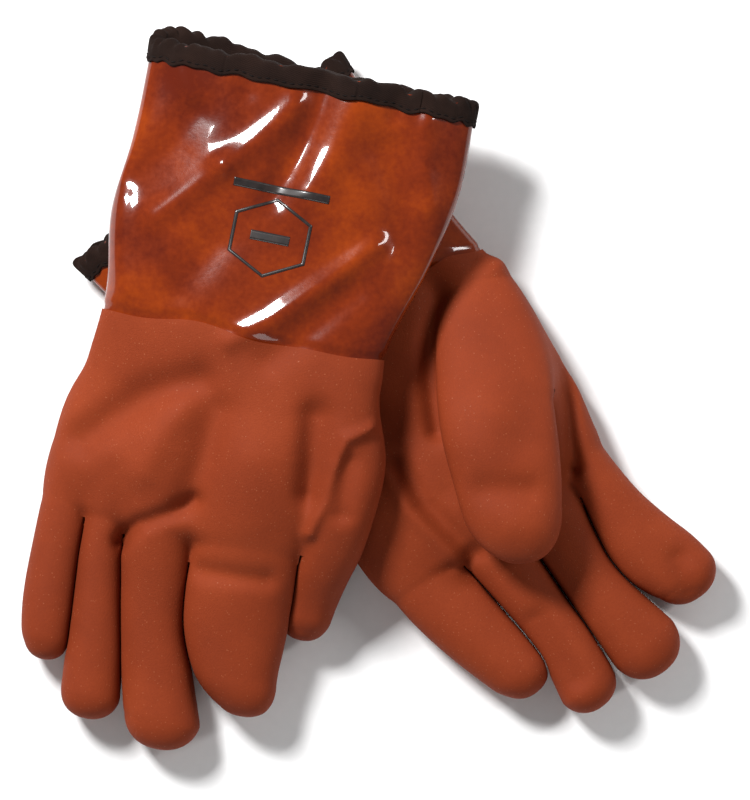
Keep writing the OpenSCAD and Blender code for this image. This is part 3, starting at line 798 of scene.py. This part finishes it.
# ---- The bound mouths ---------------------------------------------------------------------------------------------
# A dark brown woven tape is folded over the rim of each mouth and sewn down, with its ends lapped. The thread pulls it
# in, so the tape puckers and its fold runs in small waves.
woven = Finish("binding_tape", Roughness=0.9, Specular_IOR_Level=0.08, Sheen_Weight=0.02, Sheen_Roughness=0.5)
woven_uv = woven.node("SeparateXYZ", {0: woven.node("UVMap", uv_map="surface")})
tape_round, tape_across = Value(woven, woven_uv.socket.node.outputs[0]), Value(woven, woven_uv.socket.node.outputs[1])
weave_pitch = 0.9
warp = woven.node("Math", {0: (tape_round + tape_across) * (2 * math.pi / weave_pitch)}, operation="SINE")
weft = woven.node("Math", {0: (tape_across - tape_round) * (2 * math.pi / weave_pitch)}, operation="SINE")
woven_places = woven.node("TexCoord", out=3)
worn = woven.node("TexNoise", {"Vector": woven_places, "Scale": 60.0, "Detail": 4.0})
fuzz = woven.node("TexNoise", {"Vector": woven_places, "Scale": 1800.0, "Detail": 2.0})
woven_shade = woven.node("ValToRGB", {"Fac": worn * 0.7 + fuzz * 0.2 + 0.06 * warp},
                         stops=[(0.25, (0.007, 0.0036, 0.0028)), (0.55, (0.016, 0.0078, 0.0056)),
                                (0.8, (0.030, 0.0155, 0.0110))])
woven_bump = woven.node("Bump", {"Height": warp * 0.35 + weft * 0.35 + fuzz * 0.4, "Strength": 0.5, "Distance": 0.0002})
binding_tape = woven.feed(Base_Color=woven_shade, Normal=woven_bump)

tape_line = np.array([[8.4, 0.75], [6.5, 0.75], [4.5, 0.78], [2.5, 0.8], [1, 0.75], [-0.2, 0.35],
                      [-0.9, -0.5], [-1.25, -1.9], [-0.9, -3.3], [-0.2, -4.2],
                      [1, -4.75], [3, -4.85], [5, -4.8], [7.2, -4.75]])
tape_half = 0.42
lap_at = {"left": math.radians(62), "right": math.radians(83)}
seams_at = {"left": [math.radians(120), math.radians(40)], "right": [math.radians(118), math.radians(52)]}
sewn_at = 6.6


def tape_point(side, down, round_, out):
    """A point of the tape, by distance down from the rim, angle and height: the sleeve's own form, with waves that
    grow towards the fold, a dent along the sewing, a step at the lapped ends and a dent at each crosswise seam."""
    fold = np.exp(-((down + 1.2) / 3.2) ** 2)
    wave = np.sin(round_ * 31 + 1.3 * np.sin(round_ * 5))
    wave = wave + 0.6 * np.sin(round_ * 53 + 2) + 0.5 * np.sin(round_ * 17 + 1)
    dent = 0.28 * np.exp(-((down - sewn_at) / 0.9) ** 2) * np.sign(out + 2)
    lap = 0.55 * eased(round_, lap_at[side] - 0.10, lap_at[side] - 0.09)
    lap = lap * (1 - eased(round_, lap_at[side], lap_at[side] + 0.006))
    for place in seams_at[side]:
        lap = lap - 0.55 * np.exp(-((round_ - place) / 0.006) ** 2)
    out = out - dent + lap * (out > -1) + 0.16 * wave * (0.3 + fold) * (out > -1.5)
    x = mouth_x(side, round_) + down - 0.55 * wave * fold
    return sleeve_point(side, x, round_, out)


def closed_faces(rows, columns):
    """Faces of a grid that closes on itself both ways."""
    r, c = np.meshgrid(np.arange(rows), np.arange(columns), indexing="ij")
    r1, c1 = (r + 1) % rows, (c + 1) % columns
    return np.stack([r * columns + c, r1 * columns + c, r1 * columns + c1, r * columns + c1], -1).reshape(-1, 4)


tape_columns = 900
tape_angles = np.linspace(0, 2 * math.pi, tape_columns, endpoint=False)[None]
fine = np.linspace(0, len(tape_line) - 1, 34)
tape_path = np.stack([np.interp(fine, np.arange(len(tape_line)), tape_line[:, k]) for k in (0, 1)], -1)
tape_side = np.gradient(tape_path, axis=0) @ np.array([[0, -1], [1, 0]])
tape_side = tape_half * tape_side / np.linalg.norm(tape_side, axis=-1, keepdims=True)
tape_ring = np.concatenate([tape_path + tape_side, (tape_path - tape_side)[::-1]])
for side in wrist:
    down, out = tape_ring[:, :1], tape_ring[:, 1:]
    points = tape_point(side, down + 0 * tape_angles, tape_angles + 0 * down, out + 0 * tape_angles)
    length = np.concatenate([[0], np.cumsum(np.hypot(*np.diff(tape_ring, axis=0).T))])
    uv = np.stack(np.broadcast_arrays(tape_angles * 48, length[:, None]), -1)
    piece = add_mesh(f"{side}_binding", laid(side, points).reshape(-1, 3), closed_faces(len(tape_ring), tape_columns),
                     binding_tape, uv=uv.reshape(-1, 2))
    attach(piece, "left_hand" if side == "left" else "right_gauntlet")
    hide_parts(f"{side}_cuff_binding")

# ---- The stitches -------------------------------------------------------------------------------------------------
# One row of lock stitches in nearly black thread holds each tape down. Each stitch dives into the tape at its ends.
stitch_pitch, stitch_reach, thread_half = 3.6, 2.6, 0.33
twisted = Finish("thread", Roughness=0.7, Specular_IOR_Level=0.1)
twisted_places = twisted.node("TexCoord", out=3)
strands = twisted.node("TexNoise", {"Vector": twisted_places, "Scale": 2600.0, "Detail": 2.0})
twisted_shade = twisted.node("ValToRGB", {"Fac": strands},
                             stops=[(0.3, (0.003, 0.002, 0.002)), (0.7, (0.010, 0.006, 0.005))])
twisted_bump = twisted.node("Bump", {"Height": strands, "Strength": 0.5, "Distance": 0.0001})
thread = twisted.feed(Base_Color=twisted_shade, Normal=twisted_bump)
for side in wrist:
    fine_round = np.linspace(0, 2 * math.pi, 4000)
    rim = tape_point(side, sewn_at + 0 * fine_round, fine_round, 1.1 + 0 * fine_round)
    travelled = np.concatenate([[0], np.cumsum(np.linalg.norm(np.diff(rim, axis=0), axis=-1))])
    count = int(travelled[-1] / stitch_pitch)
    middle = (np.arange(count) + 0.5) * travelled[-1] / count
    s = np.linspace(-0.92, 0.92, 7)
    angle = np.interp(middle[:, None] + s * stitch_reach / 2, travelled, fine_round)
    line = tape_point(side, sewn_at + 0 * angle, angle, 1.32 - 0.35 * s ** 2 + 0 * angle)
    along = np.gradient(line, axis=1)
    along /= np.linalg.norm(along, axis=-1, keepdims=True)
    side_way = np.cross(along, np.array([1.0, 0, 0]))
    side_way /= np.linalg.norm(side_way, axis=-1, keepdims=True)
    other_way = np.cross(along, side_way)
    ring = np.linspace(0, 2 * math.pi, 6, endpoint=False)
    half = thread_half * np.sqrt(1 - s ** 2)[None, :, None, None]
    across = np.cos(ring)[:, None] * side_way[:, :, None] + np.sin(ring)[:, None] * other_way[:, :, None]
    body = line[:, :, None] + half * across
    poles = np.stack([line[:, 0] - 0.1 * along[:, 0], line[:, -1] + 0.1 * along[:, -1]], 1)
    points = np.concatenate([body.reshape(count, -1, 3), poles], 1)
    tri = grid_faces(7, 6)
    tri = np.concatenate([tri[:, [0, 1, 2]], tri[:, [0, 2, 3]]])
    ahead = (np.arange(6) + 1) % 6
    near_fan = np.stack([ahead, np.arange(6), np.full(6, 42)], -1)
    far_fan = np.stack([36 + np.arange(6), 36 + ahead, np.full(6, 43)], -1)
    faces = np.concatenate([tri, near_fan, far_fan])
    faces = (faces[None] + 44 * np.arange(count)[:, None, None]).reshape(-1, 3)
    piece = add_mesh(f"{side}_stitches", laid(side, points).reshape(-1, 3), faces, thread)
    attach(piece, "left_hand" if side == "left" else "right_gauntlet")
    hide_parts(f"{side}_cuff_stitches")

# ---- The printed mark ---------------------------------------------------------------------------------------------
# Black ink printed on the upper sleeve: a plain six-sided outline with a bar in it and a longer bar nearer the mouth.
inked = Finish("black_ink", Roughness=0.35, Coat_Weight=0.4, Coat_Roughness=0.1)
inked_places = inked.node("TexCoord", out=3)
rubbed = inked.node("TexNoise", {"Vector": inked_places, "Scale": 300.0, "Detail": 4.0})
inked_shade = inked.node("ValToRGB", {"Fac": rubbed},
                         stops=[(0.3, (0.010, 0.008, 0.008)), (0.75, (0.030, 0.020, 0.018))])
ink = inked.feed(Base_Color=inked_shade)
mark_centre, mark_reach, mark_line = (-38, 4), 17.5, 1.5
bars = [((-38, 4), 4.2, 17), ((-59, 5), 3.6, 42)]


def on_sleeve(side, x, y, out):
    """A point over (x, y) on the sleeve's top side: the angle is the one whose y it is."""
    mid_y, half_w = carried(x, body_rows[side])[..., 0], carried(x, body_rows[side])[..., 2]
    level = (y - mid_y) / (half_w + out)
    return sleeve_point(side, x, np.arccos(np.sign(level) * np.abs(level) ** (body_power / 2)), out)


steps = 40
corner = np.radians(60 * np.arange(7))
along = np.linspace(0, 6, 6 * steps, endpoint=False)
hexagon = np.stack([np.interp(along, np.arange(7), np.cos(corner)), np.interp(along, np.arange(7), np.sin(corner))], -1)
section = np.array([[0, 0.12], [-0.5, 0.16], [-1, 0.12], [-1, -0.2], [0, -0.2]])
reach = mark_reach + section[:, 0] * mark_line
mark_stretch = 1.12
points = on_sleeve("right", mark_centre[0] + reach[:, None] * hexagon[:, 0],
                   mark_centre[1] + reach[:, None] * hexagon[:, 1] * mark_stretch, section[:, 1:] + 0 * hexagon[:, 0])
outline = add_mesh("printed_outline", laid("right", points).reshape(-1, 3), closed_faces(len(section), 6 * steps), ink)
carry_sleeve(outline, "right")
for name, ((x, y), deep, wide) in zip(("printed_bar", "printed_long_bar"), bars):
    across = np.linspace(-0.5, 0.5, 61)
    ring = np.array([[-0.5, -0.2], [-0.5, 0.12], [-0.25, 0.16], [0, 0.16],
                     [0.25, 0.16], [0.5, 0.12], [0.5, -0.2], [0, -0.2]])
    points = on_sleeve("right", x + deep * ring[:, 0] + 0 * across[:, None],
                       y + wide * across[:, None] + 0 * ring[:, 0], ring[:, 1] + 0 * across[:, None])
    faces = grid_faces(61, 8)
    near_cap, far_cap = np.arange(8)[::-1], 60 * 8 + np.arange(8)
    caps = np.concatenate([[[cap[0], cap[j], cap[j + 1], cap[j + 1]] for j in range(1, 7)]
                           for cap in (near_cap, far_cap)])
    bar = add_mesh(name, laid("right", points).reshape(-1, 3), whole_faces([faces, caps]), ink)
    carry_sleeve(bar, "right")
